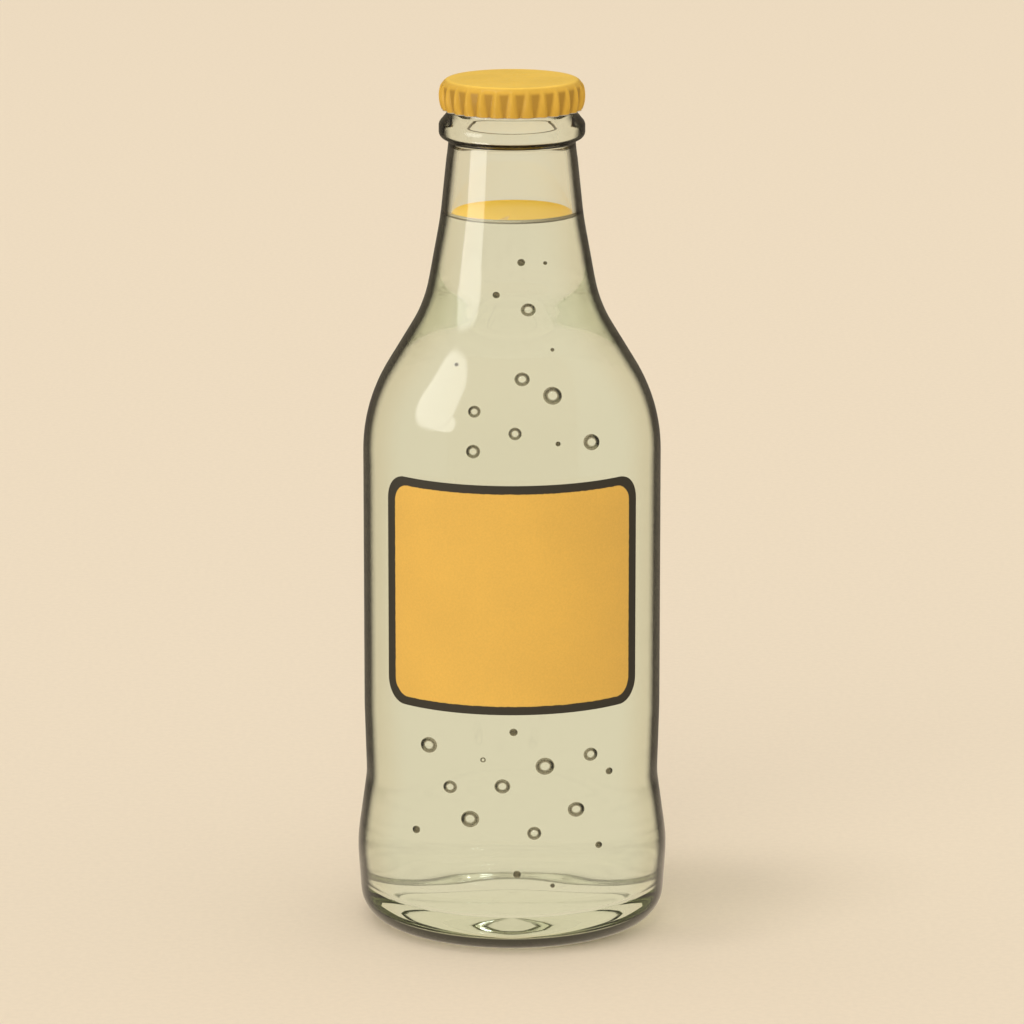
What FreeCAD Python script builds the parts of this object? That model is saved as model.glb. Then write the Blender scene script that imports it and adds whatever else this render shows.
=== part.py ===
"""Small glass bottle of tonic water with a blank label, shut by a crimped crown closure.

The frame: millimetres, +Z up, the bottle's axis on Z, its standing ring on z = 0, and the label
facing -Y. Every round piece is an outline of straight runs and tangent arcs, turned about the axis.
The crown is sheet metal: a skin lofted through fluted sections, the same skin moved in by the
sheet's thickness, and the rim that joins them.
"""
import FreeCAD, Part
import os
from math import asin, cos, degrees, pi, radians, sin, sqrt, tan

# --- Outside of the bottle, from the table up --------------------------------------------------------
PANEL_RADIUS = 29.6           # the cylinder that carries the label
FOOT_STEP = 0.5               # how far the side, carried down to the table, stands out from the panel
FOOT_ROUNDING = 8.2
BULGE_STEP = 1.55             # the band that takes the knocks on a filling line
BULGE_HEIGHT = 15.8
BULGE_ROUNDING = 27.0
WAIST_STEP = 0.4              # how far the waist above that band lies in from the panel
WAIST_RISE = 14.0
WAIST_ROUNDING = 14.0
PANEL_RISE = 14.2             # waist to label panel
PANEL_ROUNDING = 60.0
PANEL_LENGTH = 61.6
SHOULDER_ROUNDING = 34.0
SHOULDER_LENGTH = 20.3
NECK_ROOT_RADIUS = 17.3
NECK_ROOT_ROUNDING = 27.0
LOWER_NECK_LENGTH = 17.1
MID_NECK_RADIUS = 14.15
MID_NECK_ROUNDING = 60.0
UPPER_NECK_LENGTH = 15.3
NECK_TOP_RADIUS = 12.55
NECK_TOP_ROUNDING = 0.5

# --- Standing ring and push-up under the base --------------------------------------------------------
RING_INNER_RADIUS = 18.0
RING_ROUNDING = 0.8
PUSH_UP_HEIGHT = 2.6
PUSH_UP_STEP = 1.1            # the short steep slope from the ring up to the dome
PUSH_UP_SLOPE_WIDTH = 1.5
PUSH_UP_ROUNDING = 3.0

# --- Glass of the finish, stacked from the bead up ---------------------------------------------------
BEAD_STEP = 1.9               # how far the bead stands out from the top of the neck
BEAD_UNDERCUT = 1.0
BEAD_HEIGHT = 2.6
BEAD_ROUNDING = 1.5
BEAD_SLOPE = 2.1              # from the bead in to the groove
GROOVE_RADIUS = 12.7
GROOVE_HEIGHT = 1.3
GROOVE_ROUNDING = 1.0
LOCKING_RING_STEP = 0.6       # the crown is crimped under this ring
LOCKING_RING_SLOPE = 0.8
LOCKING_RING_HEIGHT = 1.8
LOCKING_RING_ROUNDING = 0.4
LIP_STEP = 0.4                # how far the lip lies in from the locking ring
LIP_RISE = 1.85
LIP_ROUNDING = 2.2
BORE_RADIUS = 8.3
BORE_ROUNDING = 1.2

# --- Glass thickness, run by run ---------------------------------------------------------------------
FLOOR_HEIGHT = 6.0            # inside floor above the table, at its edge
FLOOR_CROWN = 0.9             # how far it rises to its middle
FLOOR_ROUNDING = 6.0
FOOT_WALL = 4.0
BODY_WALL = 3.2
SHOULDER_WALL = 2.8
NECK_WALL = 2.0
THROAT_DROP = 1.8             # below the bead, where the bore starts to close in
THROAT_LENGTH = 6.0
THROAT_ROUNDING = 5.0

# --- Drink -------------------------------------------------------------------------------------------
FILL_DROP = 14.8              # surface of the drink below the bead

# --- Label -------------------------------------------------------------------------------------------
LABEL_WIDTH = 57.2            # along the paper
LABEL_FOOT_MARGIN = 5.0       # from the panel's lower end
LABEL_HEAD_MARGIN = 10.6      # from the shoulder's corner, so the label stays off its rounding
LABEL_CORNER = 5.0
LABEL_PAPER = 0.12
LABEL_GLUE = 0.03

# --- Crown and its liner -----------------------------------------------------------------------------
SHEET = 0.25                  # tinplate
LINER_THICKNESS = 0.6
LINER_EDGE_CLEARANCE = 0.2
SKIRT_CLEARANCE = 0.25        # sheet to locking ring where the skirt starts
TUCK_CLEARANCE = 0.25         # valleys to groove, at the skirt's lower edge
TUCK_LENGTH = 0.7             # how far the teeth reach down past the locking ring
VALLEY_TUCK = 4.0             # how late the valleys turn in under the locking ring: a power
CROWN_CORNER = 1.5
FLUTES = 28
FLUTE_START = 45.0            # degrees round the corner from the flat top to where flutes start
CREST_BULGE = 0.62            # how far crests stand out from the plain skirt, half way down
CREST_RIM = 0.12              # and at its lower edge
CREST_SHARE_TOP = 0.35        # share of the pitch that a crest takes up, where it starts
LOBE_POWER_TOP = 2.0          # crests blend into flat valleys where they start
LOBE_POWER_RIM = 1.0          # and are full lobes with a tight crease between them at the rim
POINTS_PER_FLUTE = 10
SKIRT_SECTIONS = 7
CORNER_SECTIONS = 6
SEWING_TOLERANCE = 1e-6

# --- Heights and radii that follow -------------------------------------------------------------------
WAIST_HEIGHT = BULGE_HEIGHT + WAIST_RISE
PANEL_START = WAIST_HEIGHT + PANEL_RISE
SHOULDER_HEIGHT = PANEL_START + PANEL_LENGTH
NECK_ROOT_HEIGHT = SHOULDER_HEIGHT + SHOULDER_LENGTH
MID_NECK_HEIGHT = NECK_ROOT_HEIGHT + LOWER_NECK_LENGTH
BEAD_BOTTOM = MID_NECK_HEIGHT + UPPER_NECK_LENGTH
BEAD_SHARP_BOTTOM = BEAD_BOTTOM + BEAD_UNDERCUT
BEAD_TOP = BEAD_SHARP_BOTTOM + BEAD_HEIGHT
GROOVE_BOTTOM = BEAD_TOP + BEAD_SLOPE
GROOVE_TOP = GROOVE_BOTTOM + GROOVE_HEIGHT
LOCKING_RING_BOTTOM = GROOVE_TOP + LOCKING_RING_SLOPE
LOCKING_RING_TOP = LOCKING_RING_BOTTOM + LOCKING_RING_HEIGHT
LIP_HEIGHT = LOCKING_RING_TOP + LIP_RISE
FILL_HEIGHT = BEAD_BOTTOM - FILL_DROP

BEAD_RADIUS = NECK_TOP_RADIUS + BEAD_STEP
LOCKING_RING_RADIUS = GROOVE_RADIUS + LOCKING_RING_STEP
LIP_RADIUS = LOCKING_RING_RADIUS - LIP_STEP

CROWN_TOP = LIP_HEIGHT + LINER_THICKNESS + SHEET
CROWN_RIM = GROOVE_TOP - TUCK_LENGTH
SKIRT_TOP = CROWN_TOP - CROWN_CORNER
SKIRT_ROOT_RADIUS = LOCKING_RING_RADIUS + SKIRT_CLEARANCE + SHEET
CROWN_PANEL_RADIUS = SKIRT_ROOT_RADIUS - CROWN_CORNER
VALLEY_RIM_RADIUS = GROOVE_RADIUS + TUCK_CLEARANCE + SHEET
FLUTE_TOP = SKIRT_TOP + CROWN_CORNER * cos(radians(FLUTE_START))

AXIS_FOOT = FreeCAD.Vector(0, 0, 0)
UP = FreeCAD.Vector(0, 0, 1)
FRONT = -90                   # degrees from +X to the side that the label faces


# --- Outlines ----------------------------------------------------------------------------------------

def line(start, end):
    return Part.LineSegment(start, end).toShape()


def rounded_outline(corners):
    """Edges of the runs through (radius, height, rounding) corners, joined by tangent arcs.

    An arc takes up at most half of the shorter run beside it."""
    points = [FreeCAD.Vector(radius, 0, height) for radius, height, rounding in corners]
    edges = []
    run_start = points[0]
    for index in range(1, len(points) - 1):
        corner = points[index]
        back = points[index - 1] - corner
        ahead = points[index + 1] - corner
        half_angle = back.getAngle(ahead) / 2
        reach = min(corners[index][2] / tan(half_angle), back.Length / 2, ahead.Length / 2)
        arc_radius = reach * tan(half_angle)
        back.normalize()
        ahead.normalize()
        arc_start = corner + back * reach
        arc_end = corner + ahead * reach
        inward = (back + ahead).normalize()
        arc_middle = corner + inward * (arc_radius / sin(half_angle) - arc_radius)
        edges.append(line(run_start, arc_start))
        edges.append(Part.Arc(arc_start, arc_middle, arc_end).toShape())
        run_start = arc_end
    edges.append(line(run_start, points[-1]))
    return edges


def turned(corners):
    """The solid inside an outline that starts and ends on the axis, turned about the axis."""
    edges = rounded_outline(corners)
    start = FreeCAD.Vector(corners[0][0], 0, corners[0][1])
    end = FreeCAD.Vector(corners[-1][0], 0, corners[-1][1])
    wire = Part.Wire(edges + [line(end, start)])
    return Part.Face(wire).revolve(AXIS_FOOT, UP, 360)


def moved_in(start, end, wall):
    """A point on the run from start up to end, and its direction, once moved towards the axis."""
    run_r = end[0] - start[0]
    run_z = end[1] - start[1]
    length = sqrt(run_r ** 2 + run_z ** 2)
    direction = (run_r / length, run_z / length)
    return (start[0] - direction[1] * wall, start[1] + direction[0] * wall), direction


def inner_corner(before, corner, after, wall_before, wall_after):
    """The inside corner behind an outside one: where its two runs, moved in by their walls, cross.

    The rounding loses the wall on an outside bend and gains it on a hollow one."""
    point, direction = moved_in(before, corner, wall_before)
    other_point, other_direction = moved_in(corner, after, wall_after)
    bend = direction[0] * other_direction[1] - direction[1] * other_direction[0]
    gap_r = other_point[0] - point[0]
    gap_z = other_point[1] - point[1]
    slide = (gap_r * other_direction[1] - gap_z * other_direction[0]) / bend
    wall = (wall_before + wall_after) / 2
    rounding = corner[2] - wall if bend > 0 else corner[2] + wall
    return point[0] + direction[0] * slide, point[1] + direction[1] * slide, rounding


# --- The bottle's corners ----------------------------------------------------------------------------

def base_corners():
    """Underneath: the push-up dome and the inner edge of the standing ring."""
    return [
        (0, PUSH_UP_HEIGHT, 0),
        (RING_INNER_RADIUS - PUSH_UP_SLOPE_WIDTH, PUSH_UP_STEP, PUSH_UP_ROUNDING),
        (RING_INNER_RADIUS, 0, RING_ROUNDING),
    ]


def body_corners():
    """The outside, from the table to the top of the neck."""
    return [
        (PANEL_RADIUS + FOOT_STEP, 0, FOOT_ROUNDING),
        (PANEL_RADIUS + BULGE_STEP, BULGE_HEIGHT, BULGE_ROUNDING),
        (PANEL_RADIUS - WAIST_STEP, WAIST_HEIGHT, WAIST_ROUNDING),
        (PANEL_RADIUS, PANEL_START, PANEL_ROUNDING),
        (PANEL_RADIUS, SHOULDER_HEIGHT, SHOULDER_ROUNDING),
        (NECK_ROOT_RADIUS, NECK_ROOT_HEIGHT, NECK_ROOT_ROUNDING),
        (MID_NECK_RADIUS, MID_NECK_HEIGHT, MID_NECK_ROUNDING),
        (NECK_TOP_RADIUS, BEAD_BOTTOM, NECK_TOP_ROUNDING),
    ]


def finish_corners():
    """The bead, the groove, the locking ring and the lip, as far as the edge of the bore."""
    return [
        (BEAD_RADIUS, BEAD_SHARP_BOTTOM, BEAD_ROUNDING),
        (BEAD_RADIUS, BEAD_TOP, BEAD_ROUNDING),
        (GROOVE_RADIUS, GROOVE_BOTTOM, GROOVE_ROUNDING),
        (GROOVE_RADIUS, GROOVE_TOP, LOCKING_RING_ROUNDING),
        (LOCKING_RING_RADIUS, LOCKING_RING_BOTTOM, LOCKING_RING_ROUNDING),
        (LOCKING_RING_RADIUS, LOCKING_RING_TOP, LOCKING_RING_ROUNDING),
        (LIP_RADIUS, LIP_HEIGHT, LIP_ROUNDING),
        (BORE_RADIUS, LIP_HEIGHT, BORE_ROUNDING),
    ]


def inside_corners():
    """The inside, from the middle of the floor up to where the bore is straight."""
    outside = body_corners()
    walls = [FOOT_WALL, BODY_WALL, BODY_WALL, BODY_WALL, SHOULDER_WALL, NECK_WALL, NECK_WALL]
    inside = [
        inner_corner(outside[i - 1], outside[i], outside[i + 1], walls[i - 1], walls[i])
        for i in range(1, len(outside) - 1)
    ]
    foot_point, foot_direction = moved_in(outside[0], outside[1], FOOT_WALL)
    foot_slide = (FLOOR_HEIGHT - foot_point[1]) / foot_direction[1]
    floor_radius = foot_point[0] + foot_direction[0] * foot_slide
    throat_start = BEAD_BOTTOM - THROAT_DROP
    throat_point, throat_direction = moved_in(outside[-2], outside[-1], NECK_WALL)
    throat_slide = (throat_start - throat_point[1]) / throat_direction[1]
    throat_radius = throat_point[0] + throat_direction[0] * throat_slide
    return [
        (0, FLOOR_HEIGHT + FLOOR_CROWN, 0),
        (floor_radius, FLOOR_HEIGHT, FLOOR_ROUNDING),
        *inside,
        (throat_radius, throat_start, THROAT_ROUNDING),
        (BORE_RADIUS, throat_start + THROAT_LENGTH, THROAT_ROUNDING),
    ]


# --- Pieces ------------------------------------------------------------------------------------------

def bottle():
    """One outline: under the base, up the outside, over the lip and down the inside."""
    return turned(base_corners() + body_corners() + finish_corners() + inside_corners()[::-1])


def drink():
    """What fills the bottle's inside up to the fill height."""
    bore = turned(inside_corners() + [(0, LIP_HEIGHT, 0)])
    below_surface = Part.makeCylinder(PANEL_RADIUS + BULGE_STEP, FILL_HEIGHT)
    return bore.common(below_surface)


def corner_offcut(side, end, centre_height):
    """What the rounding takes off one corner of the label, cut square to the paper there.

    It is made on +X and then turned to its place: side is -1 or 1 along the paper, end -1 or 1 up."""
    inside = PANEL_RADIUS / 2
    depth = PANEL_RADIUS
    reach = LABEL_CORNER + LABEL_PAPER
    block = Part.makeBox(depth, reach, reach, FreeCAD.Vector(
        inside, min(side * reach, 0), centre_height + min(end * reach, 0)))
    rounding = Part.makeCylinder(LABEL_CORNER, depth, FreeCAD.Vector(inside, 0, centre_height),
                                 FreeCAD.Vector(1, 0, 0))
    return block.cut(rounding)


def label():
    """A rounded rectangle of paper, wrapped round the front of the panel."""
    back_radius = PANEL_RADIUS + LABEL_GLUE
    face_radius = back_radius + LABEL_PAPER
    half_wrap = degrees(LABEL_WIDTH / face_radius) / 2
    bottom = PANEL_START + LABEL_FOOT_MARGIN
    top = SHOULDER_HEIGHT - LABEL_HEAD_MARGIN
    section = Part.Face(Part.makePolygon([
        FreeCAD.Vector(back_radius, 0, bottom),
        FreeCAD.Vector(face_radius, 0, bottom),
        FreeCAD.Vector(face_radius, 0, top),
        FreeCAD.Vector(back_radius, 0, top),
        FreeCAD.Vector(back_radius, 0, bottom),
    ]))
    section.rotate(AXIS_FOOT, UP, -half_wrap)
    paper = section.revolve(AXIS_FOOT, UP, 2 * half_wrap)
    corner_turn = half_wrap - degrees(asin(LABEL_CORNER / face_radius))
    for side in (-1, 1):
        for end, height in ((-1, bottom + LABEL_CORNER), (1, top - LABEL_CORNER)):
            offcut = corner_offcut(side, end, height)
            offcut.rotate(AXIS_FOOT, UP, side * corner_turn)
            paper = paper.cut(offcut)
    paper.rotate(AXIS_FOOT, UP, FRONT)
    return paper


def liner():
    """The seal between the lip and the underside of the crown."""
    return Part.makeCylinder(CROWN_PANEL_RADIUS - LINER_EDGE_CLEARANCE, LINER_THICKNESS,
                             FreeCAD.Vector(0, 0, LIP_HEIGHT))


def crest_rise(share):
    """How far a crest stands out at a share of the way down the flutes: a parabola."""
    bend = 2 * (CREST_RIM - 2 * CREST_BULGE)
    return (CREST_RIM - bend) * share + bend * share ** 2


def valley_drop(share):
    """How far a valley lies in at a share of the way down the flutes."""
    return (SKIRT_ROOT_RADIUS - VALLEY_RIM_RADIUS) * share ** VALLEY_TUCK


def fluted_wire(radius, height, share):
    """A closed smooth section of the crown. It is round where share is 0, above the flutes."""
    crest_share = min(CREST_SHARE_TOP + (1 - CREST_SHARE_TOP) * share, 1)
    power = LOBE_POWER_TOP + (LOBE_POWER_RIM - LOBE_POWER_TOP) * share
    count = FLUTES * POINTS_PER_FLUTE
    points = []
    for index in range(count):
        angle = 2 * pi * index / count
        from_crest = abs((index / POINTS_PER_FLUTE + 0.5) % 1 - 0.5)
        across = min(from_crest / (crest_share / 2), 1)
        lobe = max(cos(pi / 2 * across), 0) ** power
        reach = radius - valley_drop(share) + (crest_rise(share) + valley_drop(share)) * lobe
        points.append(FreeCAD.Vector(reach * cos(angle), reach * sin(angle), height))
    curve = Part.BSplineCurve()
    curve.interpolate(Points=points, PeriodicFlag=True)
    return Part.Wire(curve.toShape())


def crown_sections(inset):
    """Sections of the crown's outside, from the flat top down to the rim, moved in by an inset."""
    flute_length = FLUTE_TOP - CROWN_RIM
    sections = []
    for index in range(CORNER_SECTIONS):
        turn = pi / 2 * index / CORNER_SECTIONS
        share = max(FLUTE_TOP - SKIRT_TOP - CROWN_CORNER * cos(turn), 0) / flute_length
        sections.append(fluted_wire(CROWN_PANEL_RADIUS + (CROWN_CORNER - inset) * sin(turn),
                                    SKIRT_TOP + (CROWN_CORNER - inset) * cos(turn), share))
    for index in range(SKIRT_SECTIONS):
        height = SKIRT_TOP + (CROWN_RIM - SKIRT_TOP) * index / (SKIRT_SECTIONS - 1)
        share = (FLUTE_TOP - height) / flute_length
        sections.append(fluted_wire(SKIRT_ROOT_RADIUS - inset, height, share))
    return sections


def crown():
    """Two lofted skins a sheet apart, each closed by its flat top, and joined by the cut rim."""
    outside = crown_sections(0)
    inside = crown_sections(SHEET)
    faces = [Part.makeLoft(outside).Faces[0], Part.Face(outside[0])]
    faces += [Part.makeLoft(inside).Faces[0].reversed(), Part.Face(inside[0]).reversed()]
    rim = Part.makeFace([outside[-1], inside[-1]], "Part::FaceMakerBullseye")
    shell = Part.Shell(faces + rim.Faces)
    shell.sewShape()
    solid = Part.Solid(shell)
    solid.fix(SEWING_TOLERANCE, SEWING_TOLERANCE, SEWING_TOLERANCE)
    return solid


PIECES = {
    "bottle": bottle,
    "drink": drink,
    "label": label,
    "crown_closure": crown,
    "crown_liner": liner,
}


def checked(name, shape):
    """The one valid solid in a shape."""
    solid = shape.Solids[0]
    if len(shape.Solids) != 1 or not solid.isValid():
        raise SystemExit(f"{name}: expected one valid solid")
    return solid


def main():
    os.makedirs("parts", exist_ok=True)
    for name, make in PIECES.items():
        solid = checked(name, make())
        solid.exportStep(os.path.join("parts", f"{name}.step"))
        print(f"{name}: {solid.Volume / 1000:.2f} cm3")


main()
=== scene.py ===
"""Looks of the small glass bottle of tonic water: lathed glass and drink, bubbles, label and crown.

Metres, in the row frame: the bottle's axis is Z, it stands on z = 0, and the label faces -Y.
"""
import math

import bmesh
import bpy
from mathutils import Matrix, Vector, noise


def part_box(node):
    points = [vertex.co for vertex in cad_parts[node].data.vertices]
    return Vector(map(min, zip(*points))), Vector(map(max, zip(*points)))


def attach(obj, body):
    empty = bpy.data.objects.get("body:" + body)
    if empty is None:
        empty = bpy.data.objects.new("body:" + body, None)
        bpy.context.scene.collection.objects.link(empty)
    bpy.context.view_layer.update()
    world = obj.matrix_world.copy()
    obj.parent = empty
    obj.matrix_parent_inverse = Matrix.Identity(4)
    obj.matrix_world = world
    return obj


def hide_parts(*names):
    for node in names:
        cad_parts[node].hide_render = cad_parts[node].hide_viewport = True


MM = 0.001

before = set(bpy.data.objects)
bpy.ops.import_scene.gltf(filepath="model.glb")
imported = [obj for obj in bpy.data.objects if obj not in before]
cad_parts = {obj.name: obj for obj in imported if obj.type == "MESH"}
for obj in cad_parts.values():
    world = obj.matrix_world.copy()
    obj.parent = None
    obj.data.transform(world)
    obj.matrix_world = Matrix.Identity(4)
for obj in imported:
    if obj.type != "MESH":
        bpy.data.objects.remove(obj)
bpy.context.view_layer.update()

# --- Colours, linear -----------------------------------------------------------------------------------

WHITE = (1.0, 1.0, 1.0)
BACKGROUND = (0.831, 0.694, 0.515)
LABEL_YELLOW = (0.815, 0.480, 0.088)
LABEL_INK = (0.050, 0.043, 0.028)
LABEL_BACK = (0.88, 0.80, 0.62)
LABEL_BACK_PAINTED_GLOW = (0.42, 0.27, 0.15)        # painted glow: emission standing in for daylight that comes through the printed paper to its back
CROWN_GOLD = (0.94, 0.59, 0.085)
CROWN_SKIRT_SHADE = (0.72, 0.42, 0.055)      # painted shade: the skirt, which faces sideways, is darker than the top
# painted shade in the creases between the flutes
CROWN_CREASE_SHADE = (0.44, 0.24, 0.035)
CROWN_STEEL = (0.50, 0.45, 0.36)
LINER_CREAM = (0.75, 0.70, 0.58)
GLASS_SKIN = (0.805, 0.941, 0.832)     # of the outer skin, which tints all that is seen through it
GLASS_BAND_PAINTED_SHADE = (0.760, 0.813, 0.640)     # painted shade on its outer part, where the walls are seen slantwise
GLASS_EDGE_PAINTED_SHADE = (0.004, 0.004, 0.003)     # painted near-black shade at its silhouette
GLASS_TINT = (0.86, 0.89, 0.80)
WATER_FACE = (0.990, 0.996, 0.990)
WATER_TINT = (0.80, 0.92, 0.80)
# painted reflection: the gold gleam on the drink's surface
SURFACE_PAINTED_GLEAM = (0.96, 0.60, 0.08)
SURFACE_PAINTED_GLOW = 0.38                    # painted glow: emission standing in for light that the neck gathers on to the surface
# painted reflection: grey where the drink climbs the glass and under its surface
SURFACE_EDGE_PAINTED_REFLECTION = (0.85, 0.75, 0.58)
# painted shade on the slantwise rim of a bubble
BUBBLE_RIM_PAINTED_SHADE = (0.40, 0.37, 0.31)
CARD_WHITE = (1.0, 0.98, 0.93)
GLASS_SHADOW = (0.90, 0.90, 0.885)     # of lamplight, what each surface lets through
WATER_SHADOW = (0.97, 0.97, 0.965)
BUBBLE_SHADOW = (0.97, 0.97, 0.96)

GLASS_DENSITY = 20.0                   # per metre, with the tint
WATER_DENSITY = 2.0
GLASS_INDEX = 1.42                     # a little under soda glass, which keeps the thick foot clear
WATER_INDEX = 1.333

# --- Shapes that Blender adds to the CAD outlines ------------------------------------------------------

SEAM_TOLERANCE = 1e-7          # how near y = 0 a mesh point of the turning's seam lies
ON_AXIS = 1e-6                 # a point nearer the axis than this is on it
CHORD_MATCH = 0.03             # chords of one arc differ in length by less than this share
OUTLINE_STEP = 1.1 * MM        # longest piece of a refined outline
TURN_STEPS = 180               # faces round a turned piece
EDGE_DARK = 1.1 * MM           # painted shade at the silhouette edge: this far in it is darkest
EDGE_CLEAR = 2.3 * MM          # this far in only the band is left
BAND_CLEAR = 7.0 * MM          # and this far in it is clear
FOOT_BEND = 5 * MM             # stands for the radius under the foot, which bends in more tightly
WAVE_DEPTH = 0.10 * MM         # unevenness of the blown inner wall
WAVE_LENGTH = 22 * MM          # of it up the wall
WAVE_TURNS = 1.3               # how quickly it changes round the wall
WAVE_FOOT = 9 * MM             # above the table, where it starts
WAVE_HEAD = 16 * MM            # below the lip, where it ends
WAVE_FADE = 10 * MM            # over this height it grows and fades
WALL_REACH = 0.06 * MM         # how far the drink reaches into the glass
MENISCUS_RISE = 0.9 * MM
MENISCUS_WIDTH = 1.1 * MM
MENISCUS_STEPS = 14
GLEAM_SHEET_THICKNESS = 0.12 * MM     # of the sheet that carries the painted gold gleam on the drink's surface
GLEAM_SHEET_RIM = 0.75 * MM           # and how far its edge reaches down the wall
GLEAM_SHEET_RIM_WIDTH = 0.25 * MM
GLEAM_SHEET_GAP = 0.02 * MM           # between it and the wall
BUBBLE_GAP = 0.35 * MM         # between a bubble and the wall
BUBBLE_FLATNESS = 0.95         # height of a bubble to its width
FLUTES = 28                    # of the crown, with a crest on +X
SEAM_HEIGHT = 0.04 * MM        # of the two mould seams, on +X and -X
SEAM_FOOT = 3 * MM             # above the table, where they start
SEAM_HEAD = 14 * MM            # below the lip, where they end
SEAM_REACH = math.radians(2.6)  # from a seam's crest to each of its sides
SEAM_COLUMNS = 6               # of the mesh in that reach


# --- Node helpers --------------------------------------------------------------------------------------

class Shader:
    """The node tree of a new material or world, and short ways to add to it."""

    def __init__(self, name, kind="Material"):
        makers = {"Material": bpy.data.materials, "World": bpy.data.worlds}
        self.owner = makers[kind].new(name)
        self.owner.use_nodes = True
        self.tree = self.owner.node_tree
        self.tree.nodes.clear()
        self.output = self.tree.nodes.new("ShaderNodeOutput" + kind)

    def node(self, kind, **inputs):
        """A node of that kind, with its inputs linked or set by name."""
        made = self.tree.nodes.new("ShaderNode" + kind)
        for key, value in inputs.items():
            self.put(made.inputs[key.replace("_", " ")], value)
        return made

    def put(self, socket, value):
        """Link an output to a socket, or set the socket to a number or a colour."""
        if isinstance(value, bpy.types.NodeSocket):
            self.tree.links.new(value, socket)
        elif socket.type == "RGBA":
            socket.default_value = (*value, 1.0)
        else:
            socket.default_value = value

    def math(self, operation, first, second=0.0, third=0.0):
        """The output of a math node."""
        made = self.tree.nodes.new("ShaderNodeMath")
        made.operation = operation
        for socket, value in zip(made.inputs, (first, second, third)):
            self.put(socket, value)
        return made.outputs[0]

    def length(self, first, second):
        """Length of the arrow that has those two parts."""
        return self.math("SQRT", self.math("ADD", self.math("MULTIPLY", first, first),
                                           self.math("MULTIPLY", second, second)))

    def mix_colour(self, share, first, second, blend="MIX"):
        """The first colour with a share of the second."""
        made = self.tree.nodes.new("ShaderNodeMix")
        made.data_type = "RGBA"
        made.blend_type = blend
        self.put(made.inputs[0], share)
        self.put(made.inputs[6], first)
        self.put(made.inputs[7], second)
        return made.outputs[2]

    def toned(self, colour, tone):
        """A colour made darker or lighter by a factor."""
        grey = self.node("CombineColor", Red=tone, Green=tone, Blue=tone).outputs[0]
        return self.mix_colour(1.0, colour, grey, "MULTIPLY")

    def mix_shader(self, share, first, second):
        """The first shader node with a share of the second."""
        made = self.tree.nodes.new("ShaderNodeMixShader")
        self.put(made.inputs[0], share)
        self.tree.links.new(first.outputs[0], made.inputs[1])
        self.tree.links.new(second.outputs[0], made.inputs[2])
        return made

    def ramp(self, value, low, high, start=0.0, end=1.0, smooth=True):
        """value carried from low..high to start..end, and held outside it."""
        made = self.tree.nodes.new("ShaderNodeMapRange")
        made.interpolation_type = "SMOOTHSTEP" if smooth else "LINEAR"
        for socket, number in zip(made.inputs, (value, low, high, start, end)):
            self.put(socket, number)
        return made.outputs[0]

    def place(self):
        """Object coordinates, which are the row frame's."""
        return self.node("TexCoord").outputs["Object"]

    def noise(self, place, scale, detail=3.0, roughness=0.5):
        """Even noise about 0.5, with so many waves to the metre."""
        return self.node("TexNoise", Vector=place, Scale=scale, Detail=detail,
                         Roughness=roughness).outputs["Fac"]

    def finish(self, surface, volume=None):
        """Link the surface and the volume to the output, and hand over the material or world."""
        self.tree.links.new(surface.outputs[0], self.output.inputs["Surface"])
        if volume is not None:
            self.tree.links.new(volume.outputs[0], self.output.inputs["Volume"])
        return self.owner


# --- Outlines and turned pieces ------------------------------------------------------------------------

def outline_of(node):
    """The (radius, height) points of a turned CAD solid's outline, from its lower axis point on.

    They are its mesh points on the turning's seam, which lies in the +X half of y = 0."""
    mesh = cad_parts[node].data
    on_seam = {v.index for v in mesh.vertices
               if abs(v.co.y) < SEAM_TOLERANCE and v.co.x > -SEAM_TOLERANCE}
    point_of = {i: (round(mesh.vertices[i].co.x, 7), round(mesh.vertices[i].co.z, 7)) for i in on_seam}
    beside = {}
    for edge in mesh.edges:
        if edge.vertices[0] in on_seam and edge.vertices[1] in on_seam:
            first, second = (point_of[i] for i in edge.vertices)
            if first != second:
                beside.setdefault(first, set()).add(second)
                beside.setdefault(second, set()).add(first)
    path = [min((point for point, near in beside.items() if len(near) == 1), key=lambda p: p[1])]
    while True:
        ahead = [p for p in beside[path[-1]] if p not in path[-2:]]
        if not ahead:
            return [Vector(p) for p in path]
        path.append(ahead[0])


def refined(points, step):
    """An outline with its arcs rounded and its runs divided, so that no piece is longer than step.

    Meshing gives an arc as equal chords and a straight run as one piece, which tells them apart."""
    chords = [b - a for a, b in zip(points, points[1:])]

    def alike(i, j):
        return (0 <= j < len(chords)
                and abs(chords[i].length - chords[j].length) < CHORD_MATCH * chords[i].length)

    curved = [alike(i, i - 1) or alike(i, i + 1) for i in range(len(chords))]

    def tangent(i, own):
        """Direction at point i, seen from chord own."""
        other = i - 1 if own == i else i
        if not 0 <= other < len(chords) or not curved[own]:
            return chords[own].normalized()
        if not curved[other]:
            return chords[other].normalized()
        return (chords[own].normalized() + chords[other].normalized()).normalized()

    finer = [points[0]]
    for i, chord in enumerate(chords):
        count = max(1, math.ceil(chord.length / step))
        start_slope = tangent(i, i) * chord.length
        end_slope = tangent(i + 1, i) * chord.length
        for k in range(1, count + 1):
            t = k / count
            finer.append(
                (2 * t ** 3 - 3 * t ** 2 + 1) * points[i] + (t ** 3 - 2 * t ** 2 + t) * start_slope
                + (3 * t ** 2 - 2 * t ** 3) * points[i + 1] + (t ** 3 - t ** 2) * end_slope)
    return finer


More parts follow.
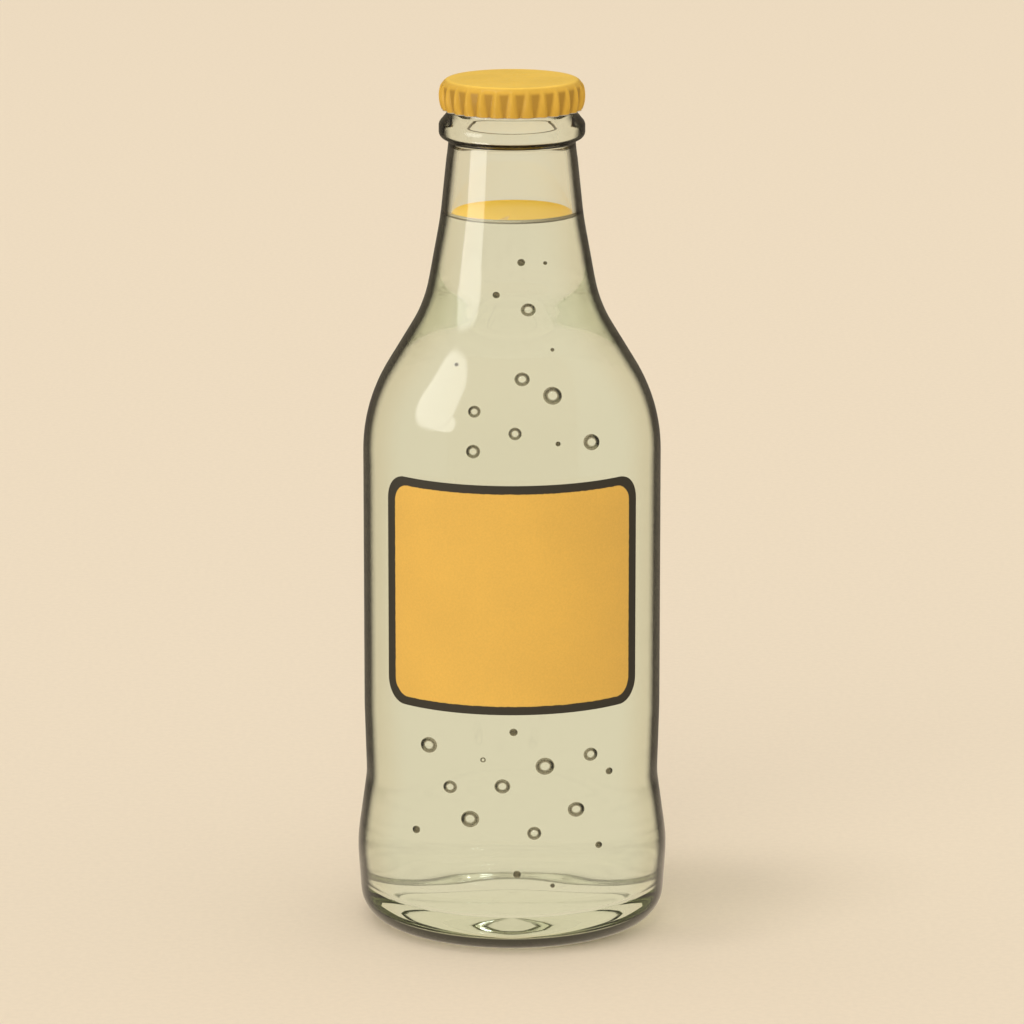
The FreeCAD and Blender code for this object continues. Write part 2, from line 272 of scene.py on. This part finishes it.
def outward_normals(outline):
    """Unit normals to the right of the outline's way, which is out of the solid."""
    normals = []
    for i in range(len(outline)):
        along = outline[min(i + 1, len(outline) - 1)] - outline[max(i - 1, 0)]
        normals.append(Vector((along.y, -along.x)).normalized())
    return normals


def column_angles(seams):
    """Angles of the columns of a turned piece, closer together at its mould seams if it has them."""
    angles = {2 * math.pi * k / TURN_STEPS for k in range(TURN_STEPS)}
    if seams:
        for k in range(-SEAM_COLUMNS, SEAM_COLUMNS + 1):
            for side in (0, math.pi):
                angles.add((side + SEAM_REACH * k / SEAM_COLUMNS) % (2 * math.pi))
    return sorted(angles)


def turned(name, outline, offset=None, seams=False):
    """A closed mesh of an outline turned about Z. offset(angle, radius, height, normal) moves a point
    out of the solid. The outline starts and ends on the axis and keeps the solid on its left."""
    angles = column_angles(seams)
    mesh = bmesh.new()
    rings = []
    for point, normal in zip(outline, outward_normals(outline)):
        if point.x < ON_AXIS:
            rings.append([mesh.verts.new((0, 0, point.y))])
            continue
        ring = []
        for angle in angles:
            out = offset(angle, point.x, point.y, normal) if offset else 0
            radius = point.x + normal.x * out
            ring.append(mesh.verts.new((radius * math.cos(angle), radius * math.sin(angle),
                                        point.y + normal.y * out)))
        rings.append(ring)
    for lower, upper in zip(rings, rings[1:]):
        for k in range(len(angles)):
            corners = [lower[k % len(lower)], lower[(k + 1) % len(lower)],
                       upper[(k + 1) % len(upper)], upper[k % len(upper)]]
            kept = [v for i, v in enumerate(corners) if v not in corners[:i]]
            if len(kept) > 2:
                mesh.faces.new(kept)
    return piece_from(name, mesh)


def piece_from(name, mesh):
    """An object made of a bmesh, shaded smooth."""
    data = bpy.data.meshes.new(name)
    mesh.to_mesh(data)
    mesh.free()
    data.polygons.foreach_set("use_smooth", [True] * len(data.polygons))
    made = bpy.data.objects.new(name, data)
    bpy.context.scene.collection.objects.link(made)
    return made


def dress(piece, material):
    """Give a piece one material all over."""
    piece.data.materials.clear()
    piece.data.materials.append(material)


# --- Materials -----------------------------------------------------------------------------------------

def radial_parts(s):
    """Distance from the axis, and the outward and upward parts of the normal."""
    x, y, _ = s.node("SeparateXYZ", Vector=s.place()).outputs
    nx, ny, nz = s.node("SeparateXYZ", Vector=s.node("NewGeometry").outputs["Normal"]).outputs
    radius = s.length(x, y)
    outward = s.math("DIVIDE", s.math("ADD", s.math("MULTIPLY", x, nx), s.math("MULTIPLY", y, ny)), radius)
    return radius, outward, nz


def edge_depth(s):
    """How far in from its silhouette a turned wall lies, and 1 on the outer skin, 0 elsewhere.

    Where a wall of some radius is seen at a cosine, that is about radius * cosine ** 2 / 2."""
    cosine = s.math("SUBTRACT", 1.0, s.node("LayerWeight", Blend=0.5).outputs["Facing"])
    radius, outward, nz = radial_parts(s)
    under = s.ramp(nz, -0.15, -0.55)
    bend = s.math("ADD", s.math("MULTIPLY", under, FOOT_BEND),
                  s.math("MULTIPLY", s.math("SUBTRACT", 1.0, under), radius))
    depth = s.math("MULTIPLY", s.math("MULTIPLY", cosine, cosine), s.math("MULTIPLY", bend, 0.5))
    entering = s.math("SUBTRACT", 1.0, s.node("NewGeometry").outputs["Backfacing"])
    return depth, s.math("MULTIPLY", s.ramp(outward, 0.05, 0.2), entering)


def clear_material(name, index, tint, density, face, lamp_share, edged=False):
    """Glass or water. It lets lamps through, takes a tint with depth, and glass has painted shade at its
    edges.
    """
    s = Shader(name)
    body = s.node("BsdfPrincipled", Base_Color=face, Roughness=0.0, IOR=index, Transmission_Weight=1.0)
    if edged:
        depth, skin = edge_depth(s)
        # Painted shade: a darker band, then a near-black edge, towards the silhouette of the outer skin.
        band = s.math("MULTIPLY", s.ramp(depth, EDGE_CLEAR, BAND_CLEAR, 1.0, 0.0), skin)
        dark = s.math("MULTIPLY", s.ramp(depth, EDGE_DARK, EDGE_CLEAR, 1.0, 0.0), skin)
        colour = s.mix_colour(skin, face, GLASS_SKIN)
        for share, other in ((band, GLASS_BAND_PAINTED_SHADE), (dark, GLASS_EDGE_PAINTED_SHADE)):
            colour = s.mix_colour(share, colour, other)
        s.put(body.inputs["Base Color"], colour)
    lamps = s.node("BsdfTransparent", Color=lamp_share)
    is_shadow = s.node("LightPath").outputs["Is Shadow Ray"]
    volume = s.node("VolumeAbsorption", Color=tint, Density=density)
    return s.finish(s.mix_shader(is_shadow, body, lamps), volume)


def bubble_material(name, clear_to, dark_from):
    """Gas in water: the index is turned round, and past a slant the rim has painted shade."""
    s = Shader(name)
    facing = s.node("LayerWeight", Blend=0.5).outputs["Facing"]
    colour = s.mix_colour(s.ramp(facing, clear_to, dark_from), WHITE, BUBBLE_RIM_PAINTED_SHADE)
    body = s.node("BsdfGlass", Color=colour, Roughness=0.0, IOR=1 / WATER_INDEX)
    lamps = s.node("BsdfTransparent", Color=BUBBLE_SHADOW)
    return s.finish(s.mix_shader(s.node("LightPath").outputs["Is Shadow Ray"], body, lamps))


def label_material():
    """Matt coated paper: a yellow field in a dark border, and a cream back with a painted glow that shows
    through the drink.
    """
    low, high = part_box("label")
    face_radius = -low.y
    half_wrap = math.atan2(high.x, -high.y)
    half_width = face_radius * half_wrap
    half_height = (high.z - low.z) / 2
    corner = 3.6 * MM
    border = 1.7 * MM
    side_border = 2.4 * MM
    s = Shader("label_paper")
    place = s.place()
    x, y, z = s.node("SeparateXYZ", Vector=place).outputs
    along = s.math("MULTIPLY", s.math("ARCTAN2", x, s.math("MULTIPLY", y, -1.0)), face_radius)
    up = s.math("SUBTRACT", z, (low.z + high.z) / 2)
    beyond_x = s.math("SUBTRACT", s.math("ABSOLUTE", along), half_width - side_border - corner)
    beyond_z = s.math("SUBTRACT", s.math("ABSOLUTE", up), half_height - border - corner)
    round_part = s.length(s.math("MAXIMUM", beyond_x, 0.0), s.math("MAXIMUM", beyond_z, 0.0))
    straight_part = s.math("MINIMUM", s.math("MAXIMUM", beyond_x, beyond_z), 0.0)
    to_edge = s.math("SUBTRACT", s.math("ADD", round_part, straight_part), corner)
    bleed = s.math("MULTIPLY", s.math("SUBTRACT", s.noise(place, 900.0), 0.5), 0.25 * MM)
    inked = s.ramp(s.math("ADD", to_edge, bleed), -0.08 * MM, 0.08 * MM)
    fibre = s.noise(place, 2600.0, 5.0, 0.65)
    cloud = s.noise(place, 90.0, 3.0)
    tone = s.math("ADD", s.ramp(fibre, 0.3, 0.7, 0.96, 1.03), s.ramp(cloud, 0.3, 0.7, -0.02, 0.02))
    yellow = s.toned(LABEL_YELLOW, tone)
    _, outward, _ = radial_parts(s)
    at_back = s.ramp(outward, -0.5, -0.8)
    colour = s.mix_colour(at_back, s.mix_colour(inked, yellow, LABEL_INK), LABEL_BACK)
    bump = s.node("Bump", Strength=0.25, Distance=0.02 * MM, Height=fibre)
    roughness = s.ramp(cloud, 0.3, 0.7, 0.55, 0.68)
    # The back carries a painted glow, an emission in place of light through the paper.
    return s.finish(s.node("BsdfPrincipled", Base_Color=colour, Roughness=roughness,
                           Specular_IOR_Level=0.35, Emission_Color=LABEL_BACK_PAINTED_GLOW,
                           Emission_Strength=at_back, Normal=bump.outputs[0]))


def crown_material():
    """Gold lacquer over tinplate: satin, with painted shade on the skirt and in the creases, and bare metal
    at the cut rim.
    """
    low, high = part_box("crown_closure")
    s = Shader("crown_lacquer")
    place = s.place()
    x, y, z = s.node("SeparateXYZ", Vector=place).outputs
    speckle = s.noise(place, 1400.0, 4.0, 0.6)
    tone = s.ramp(s.noise(place, 160.0, 3.0), 0.3, 0.7, 0.95, 1.04)
    _, _, nz = radial_parts(s)
    # Painted shade: the lacquer darkens where it turns from the top down to the skirt.
    gold = s.toned(s.mix_colour(s.ramp(nz, 0.97, 0.75), CROWN_GOLD, CROWN_SKIRT_SHADE), tone)
    # Painted shade in the creases between the flutes, growing down the skirt.
    turn = s.math("MULTIPLY", s.math("ARCTAN2", y, x), FLUTES / (2 * math.pi))
    from_crest = s.math("PINGPONG", turn, 0.5)
    down = s.ramp(z, high.z - 1.0 * MM, low.z, 0.0, 1.0, smooth=False)
    crest_half = s.math("MULTIPLY_ADD", down, 0.22, 0.13)
    crease = s.ramp(s.math("SUBTRACT", from_crest, crest_half), -0.05, 0.16)
    skirt = s.math("MULTIPLY", s.ramp(z, high.z - 0.9 * MM, high.z - 1.6 * MM), crease)
    gold = s.mix_colour(s.math("MULTIPLY", skirt, 0.85), gold, CROWN_CREASE_SHADE)
    cut_rim = s.ramp(s.math("ADD", z, s.math("MULTIPLY", s.math("SUBTRACT", speckle, 0.5), 0.3 * MM)),
                     low.z + 0.08 * MM, low.z + 0.2 * MM, 1.0, 0.0)
    colour = s.mix_colour(cut_rim, gold, CROWN_STEEL)
    orange_peel = s.node("Bump", Strength=0.15, Distance=0.02 * MM, Height=s.noise(place, 700.0, 2.0))
    roughness = s.ramp(speckle, 0.3, 0.7, 0.30, 0.40)
    return s.finish(s.node("BsdfPrincipled", Base_Color=colour, Roughness=roughness,
                           Specular_IOR_Level=0.15, Normal=orange_peel.outputs[0]))


def liner_material():
    """Satin sealing compound, a little mottled."""
    s = Shader("liner_compound")
    mottle = s.noise(s.place(), 500.0)
    colour = s.mix_colour(s.ramp(mottle, 0.3, 0.7), LINER_CREAM, tuple(0.93 * c for c in LINER_CREAM))
    return s.finish(s.node("BsdfPrincipled", Base_Color=colour, Roughness=0.45))


def surface_material():
    """The painted gold gleam on the drink's surface, a painted reflection, with its painted grey edge where
    the drink climbs the glass.
    """
    s = Shader("drink_surface_painted_gleam")
    _, outward, nz = radial_parts(s)
    # Painted reflection: grey where the surface climbs the wall and on its underside.
    below = s.math("MAXIMUM", s.ramp(outward, 0.05, 0.3), s.ramp(nz, -0.3, -0.6))
    colour = s.mix_colour(below, SURFACE_PAINTED_GLEAM, SURFACE_EDGE_PAINTED_REFLECTION)
    ripple = s.node("Bump", Strength=0.1, Distance=0.05 * MM, Height=s.noise(s.place(), 300.0, 1.0))
    # Painted glow: an emission in the gleam's colour, away from the grey edge.
    glow = s.math("MULTIPLY", s.math("SUBTRACT", 1.0, below), SURFACE_PAINTED_GLOW)
    return s.finish(s.node("BsdfPrincipled", Base_Color=colour, Roughness=0.35, Specular_IOR_Level=0.15,
                           Emission_Color=SURFACE_PAINTED_GLEAM, Emission_Strength=glow,
                           Normal=ripple.outputs[0]))


# --- Pieces --------------------------------------------------------------------------------------------

bottle_outline = outline_of("bottle")
drink_outline = outline_of("drink")
fill_height = drink_outline[-1].y
fill_radius = drink_outline[-1].x
lip_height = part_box("bottle")[1].z
widest_radius = max(point.x for point in bottle_outline)


def wall_wave(angle, height):
    """Unevenness of the blown inner wall: broad, shallow and different all round."""
    spot = Vector((math.cos(angle) * WAVE_TURNS, math.sin(angle) * WAVE_TURNS, height / WAVE_LENGTH))
    return WAVE_DEPTH * noise.noise(spot)


def inner_part(height):
    """1 on the body's inner wall, fading to 0 on the floor and in the finish."""
    rise = min(max((height - WAVE_FOOT) / WAVE_FADE, 0), 1)
    fall = min(max((lip_height - WAVE_HEAD - height) / WAVE_FADE, 0), 1)
    return rise * fall


def mould_seam(angle, radius):
    """Height of the fine seam where the two halves of the mould met. It stays in the widest band."""
    from_seam = abs((angle + math.pi / 2) % math.pi - math.pi / 2)
    height = SEAM_HEIGHT * max(0, 1 - (from_seam / SEAM_REACH) ** 2) ** 2
    return min(height, widest_radius - radius)


def glass_offset(angle, radius, height, normal):
    """The outside carries the mould seams below the finish, and the blown inside waves."""
    if normal.x > 0.2:
        return mould_seam(angle, radius) if SEAM_FOOT < height < lip_height - SEAM_HEAD else 0
    return -wall_wave(angle, height) * inner_part(height) if normal.x < -0.05 else 0


def make_bottle():
    """The glass, turned from the CAD outline with its seams and waves."""
    piece = turned("glass_bottle", refined(bottle_outline, OUTLINE_STEP), glass_offset, seams=True)
    dress(piece, clear_material("bottle_glass", GLASS_INDEX, GLASS_TINT, GLASS_DENSITY, WHITE,
                                GLASS_SHADOW, edged=True))
    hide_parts("bottle")
    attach(piece, "root")


def drink_offset(angle, radius, height, normal):
    """The drink reaches just into the glass and follows its waves, but its surface stays in place."""
    return WALL_REACH * min(1, (1 - max(0, normal.y)) * 4) + wall_wave(angle, height) * inner_part(height)


def meniscus_at(inwards):
    """How high the drink's surface stands above its middle, a way in from the wall."""
    return MENISCUS_RISE * math.exp(-inwards / MENISCUS_WIDTH)


def surface_outline():
    """The drink's upper surface, from the wall in to the axis."""
    ways_in = [MENISCUS_WIDTH * 4 * (k / MENISCUS_STEPS) ** 1.6 for k in range(MENISCUS_STEPS + 1)]
    inner = fill_radius - ways_in[-1]
    points = [Vector((fill_radius - way, fill_height + meniscus_at(way))) for way in ways_in]
    return points + [Vector((inner * share, fill_height)) for share in (0.66, 0.33, 0.0)]


def make_drink():
    """The drink, turned from the CAD outline, with a surface that climbs the glass."""
    wall = refined(drink_outline, OUTLINE_STEP)
    climb = [Vector((fill_radius, fill_height + MENISCUS_RISE * share)) for share in (0.35, 0.7)]
    piece = turned("tonic_water", wall + climb + surface_outline(), drink_offset)
    dress(piece, clear_material("tonic_water_clear", WATER_INDEX, WATER_TINT, WATER_DENSITY, WATER_FACE,
                                WATER_SHADOW))
    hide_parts("drink")
    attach(piece, "root")


def make_painted_gleam_sheet():
    """A thin sheet in the drink's surface that carries its painted gold gleam, half sunk in it, whose edge
    reaches down the wall.
    """
    over = [Vector((max(p.x - GLEAM_SHEET_GAP, 0), p.y + GLEAM_SHEET_THICKNESS / 2)) for p in surface_outline()]
    under = [Vector((p.x, p.y - GLEAM_SHEET_THICKNESS - GLEAM_SHEET_RIM * math.exp((p.x - fill_radius) / GLEAM_SHEET_RIM_WIDTH)))
             for p in reversed(over)]
    piece = turned("drink_surface", under + over)
    dress(piece, surface_material())
    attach(piece, "root")


# Bubbles that stand at the front, as (across, height, diameter) in millimetres as they are seen.
FRONT_RINGS = (
    (3.2, 126.6, 2.8), (2.0, 113.7, 2.9), (8.0, 110.5, 3.6), (-7.4, 107.9, 2.4), (0.6, 104.1, 2.5),
    (-7.6, 100.6, 2.7), (15.6, 101.5, 3.2), (-16.4, 40.6, 3.3), (-5.7, 39.0, 1.1), (6.5, 37.4, 3.6),
    (15.5, 38.9, 2.8), (-12.2, 32.7, 2.7), (-1.9, 33.5, 3.0), (-8.3, 26.3, 3.5), (12.7, 27.8, 3.3),
    (4.4, 23.8, 2.7),
)
FRONT_DOTS = (
    (1.8, 136.0, 1.5), (6.5, 135.7, 0.8), (-3.1, 129.7, 1.4), (8.0, 118.9, 0.8), (-11.0, 116.0, 0.8),
    (9.0, 102.1, 1.0), (0.3, 44.7, 1.6), (19.2, 34.8, 1.5), (-19.0, 22.8, 1.6), (17.2, 20.2, 1.4),
    (1.0, 15.8, 1.5), (8.0, 13.4, 0.9),
)


def inner_radius(height):
    """The bottle's inner radius at a height, between the points of the drink's outline."""
    for lower, upper in zip(drink_outline, drink_outline[1:]):
        if lower.y <= height <= upper.y and upper.y > lower.y and lower.x > ON_AXIS:
            return lower.x + (upper.x - lower.x) * (height - lower.y) / (upper.y - lower.y)
    return drink_outline[-1].x


def outer_radius(height):
    """The bottle's outer radius at a height."""
    widest = 0.0
    for lower, upper in zip(bottle_outline, bottle_outline[1:]):
        if lower.y <= height <= upper.y and upper.y > lower.y:
            widest = max(widest, lower.x + (upper.x - lower.x) * (height - lower.y) / (upper.y - lower.y))
    return widest


def angle_seen_at(across, height, radius):
    """Where on the circle of a radius a thing stands that is seen at a place across the bottle.

    The sight line bends in to the glass and out to the drink."""
    outside, inside = outer_radius(height), inner_radius(height)
    in_glass, in_drink = across / GLASS_INDEX, across / WATER_INDEX
    return (math.asin(across / outside) + math.asin(in_glass / inside) - math.asin(in_glass / outside)
            + math.asin(in_drink / radius) - math.asin(in_drink / inside))


def add_bubble(mesh, middle, diameter):
    """A sphere, a little flattened as a rising bubble is."""
    count = 24 if diameter > 1.2 * MM else 14
    made = bmesh.ops.create_uvsphere(mesh, u_segments=count, v_segments=count // 2, radius=diameter / 2)
    for vertex in made["verts"]:
        vertex.co.z *= BUBBLE_FLATNESS
        vertex.co += middle


def make_bubbles():
    """Bubbles that cling to the glass at the front, above and below the label."""
    rings, dots = bmesh.new(), bmesh.new()
    for mesh, places in ((rings, FRONT_RINGS), (dots, FRONT_DOTS)):
        for across, height, diameter in places:
            across, height, diameter = across * MM, height * MM, diameter * MM
            radius = inner_radius(height) - diameter / 2 - BUBBLE_GAP
            angle = angle_seen_at(across, height, radius)
            middle = Vector((radius * math.sin(angle), -radius * math.cos(angle), height))
            add_bubble(mesh, middle, diameter)
    for name, mesh, gas in (("bubbles_large", rings, bubble_material("gas_large", 0.16, 0.34)),
                            ("bubbles_small", dots, bubble_material("gas_small", -0.05, 0.03))):
        piece = piece_from(name, mesh)
        dress(piece, gas)
        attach(piece, "root")


make_bottle()
make_drink()
make_painted_gleam_sheet()
make_bubbles()
for node, material in (("label", label_material()), ("crown_closure", crown_material()),
                       ("crown_liner", liner_material())):
    dress(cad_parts[node], material)


# --- Stage ---------------------------------------------------------------------------------------------

CAMERA_DISTANCE = 1.193
CAMERA_HEIGHT = 0.350
CAMERA_TILT = 0.22             # radians below level
CAMERA_LENS = 215.2            # millimetres on a 36 mm sensor
FLOOR_REACH = 9.0
WORLD_LEVEL = 0.72
GLOSS_LEVEL = 0.22             # of the backdrop that low reflections see


def make_camera():
    """A long lens, a little above the crown, that looks slightly down."""
    data = bpy.data.cameras.new("camera")
    data.lens = CAMERA_LENS
    data.clip_end = 50.0
    camera = bpy.data.objects.new("camera", data)
    camera.location = (0, -CAMERA_DISTANCE, CAMERA_HEIGHT)
    camera.rotation_euler = (math.pi / 2 - CAMERA_TILT, 0, 0)
    bpy.context.scene.collection.objects.link(camera)
    bpy.context.scene.camera = camera


def floor_material():
    """Cream board: lit and shaded near the bottle, plain backdrop in glass and far away.

    Gloss sees it darker away from the bottle, as black cards round a light table make it."""
    s = Shader("stage_board")
    place = s.place()
    tone = s.ramp(s.noise(place, 700.0, 4.0, 0.6), 0.3, 0.7, 0.985, 1.015)
    colour = s.toned(BACKGROUND, tone)
    path = s.node("LightPath").outputs
    x, y, _ = s.node("SeparateXYZ", Vector=place).outputs
    away = s.length(x, y)
    lit = s.node("BsdfDiffuse", Color=colour)
    plain = s.node("Emission", Color=colour, Strength=1.0)
    gloss = s.node("Emission", Color=colour, Strength=s.ramp(away, 0.04, 0.16, 0.8, GLOSS_LEVEL))
    far = s.math("MULTIPLY", s.ramp(away, 0.6, 2.2), path["Is Camera Ray"])
    plain_share = s.math("MAXIMUM", far, path["Is Transmission Ray"])
    mirrored = s.math("SUBTRACT", path["Is Glossy Ray"], path["Is Transmission Ray"])
    return s.finish(s.mix_shader(mirrored, s.mix_shader(plain_share, lit, plain), gloss))


def make_floor():
    """The board that the bottle stands on."""
    mesh = bmesh.new()
    corners = [mesh.verts.new((FLOOR_REACH * x, FLOOR_REACH * y, 0))
               for x, y in ((-1, -1), (1, -1), (1, 1), (-1, 1))]
    mesh.faces.new(corners)
    floor = piece_from("stage_floor", mesh)
    dress(floor, floor_material())


def make_world():
    """White light on the object. Sight and glass see the backdrop, and gloss sees it dark low down."""
    s = Shader("studio", "World")
    path = s.node("LightPath").outputs
    seen = s.math("MAXIMUM", path["Is Camera Ray"], path["Is Transmission Ray"])
    mirrored = s.math("SUBTRACT", path["Is Glossy Ray"], path["Is Transmission Ray"])
    height = s.node("SeparateXYZ", Vector=s.node("TexCoord").outputs["Generated"]).outputs["Z"]
    rise = s.ramp(height, 0.25, 0.85, GLOSS_LEVEL, 1.0, smooth=False)
    light = s.node("Background", Color=WHITE, Strength=WORLD_LEVEL)
    backdrop = s.node("Background", Color=BACKGROUND)
    gloss = s.node("Background", Color=BACKGROUND, Strength=rise)
    bpy.context.scene.world = s.finish(s.mix_shader(mirrored, s.mix_shader(seen, light, backdrop), gloss))


def make_sun(name, energy, spread, towards, mirrored):
    """A soft sun that shines from a direction, over a spread in degrees."""
    data = bpy.data.lights.new(name, "SUN")
    data.energy = energy
    data.angle = math.radians(spread)
    sun = bpy.data.objects.new(name, data)
    sun.rotation_euler = Vector(towards).to_track_quat("Z", "Y").to_euler()
    sun.visible_glossy = mirrored
    sun.visible_transmission = mirrored
    bpy.context.scene.collection.objects.link(sun)


def card_material(name, azimuth, half_spread, height, half_height, strength):
    """A glow with soft rounded edges, and nothing beyond them."""
    s = Shader(name)
    x, y, z = s.node("SeparateXYZ", Vector=s.place()).outputs
    turn = s.math("ARCTAN2", x, s.math("MULTIPLY", y, -1.0))
    across = s.math("DIVIDE", s.math("SUBTRACT", turn, math.radians(azimuth)), math.radians(half_spread))
    up = s.math("DIVIDE", s.math("SUBTRACT", z, height), half_height)
    off = s.math("ADD", s.math("POWER", s.math("ABSOLUTE", across), 3.0),
                 s.math("POWER", s.math("ABSOLUTE", up), 3.0))
    glow = s.node("Emission", Color=CARD_WHITE, Strength=strength)
    return s.finish(s.mix_shader(s.ramp(off, 0.55, 1.0), glow, s.node("BsdfTransparent", Color=WHITE)))


def make_card(name, distance, azimuth, half_spread, height, half_height, strength):
    """A curved upright card at a distance from the axis. Azimuth 0 is towards -Y, and grows towards +X."""
    mesh = bmesh.new()
    columns = 24
    rows = []
    for level in (height - half_height, height + half_height):
        row = []
        for k in range(columns + 1):
            angle = math.radians(azimuth - half_spread + 2 * half_spread * k / columns)
            row.append(mesh.verts.new((distance * math.sin(angle), -distance * math.cos(angle), level)))
        rows.append(row)
    for k in range(columns):
        mesh.faces.new((rows[0][k], rows[0][k + 1], rows[1][k + 1], rows[1][k]))
    card = piece_from(name, mesh)
    dress(card, card_material(name, azimuth, half_spread, height, half_height, strength))
    card.visible_camera = False
    card.visible_diffuse = False
    card.visible_shadow = False
    card.visible_transmission = False


make_camera()
make_floor()
make_world()
make_sun("key_sun", energy=0.72, spread=14, towards=(-0.32, -0.14, 1.0), mirrored=True)
make_sun("fill_sun", energy=0.75, spread=50, towards=(-0.32, -1.0, 0.45), mirrored=False)
make_card("stage_neck_card", distance=0.160, azimuth=-60, half_spread=17.5,
          height=0.1555, half_height=0.0185, strength=6.0)
make_card("stage_shoulder_card", distance=0.045, azimuth=-50, half_spread=16.0,
          height=0.1265, half_height=0.0185, strength=6.0)

# Light is turned back many times in a thick glass foot and in the shoulder.
paths = bpy.context.scene.cycles
paths.max_bounces = 32
paths.glossy_bounces = 24
paths.transmission_bounces = 32

bpy.context.scene.view_settings.view_transform = "Standard"
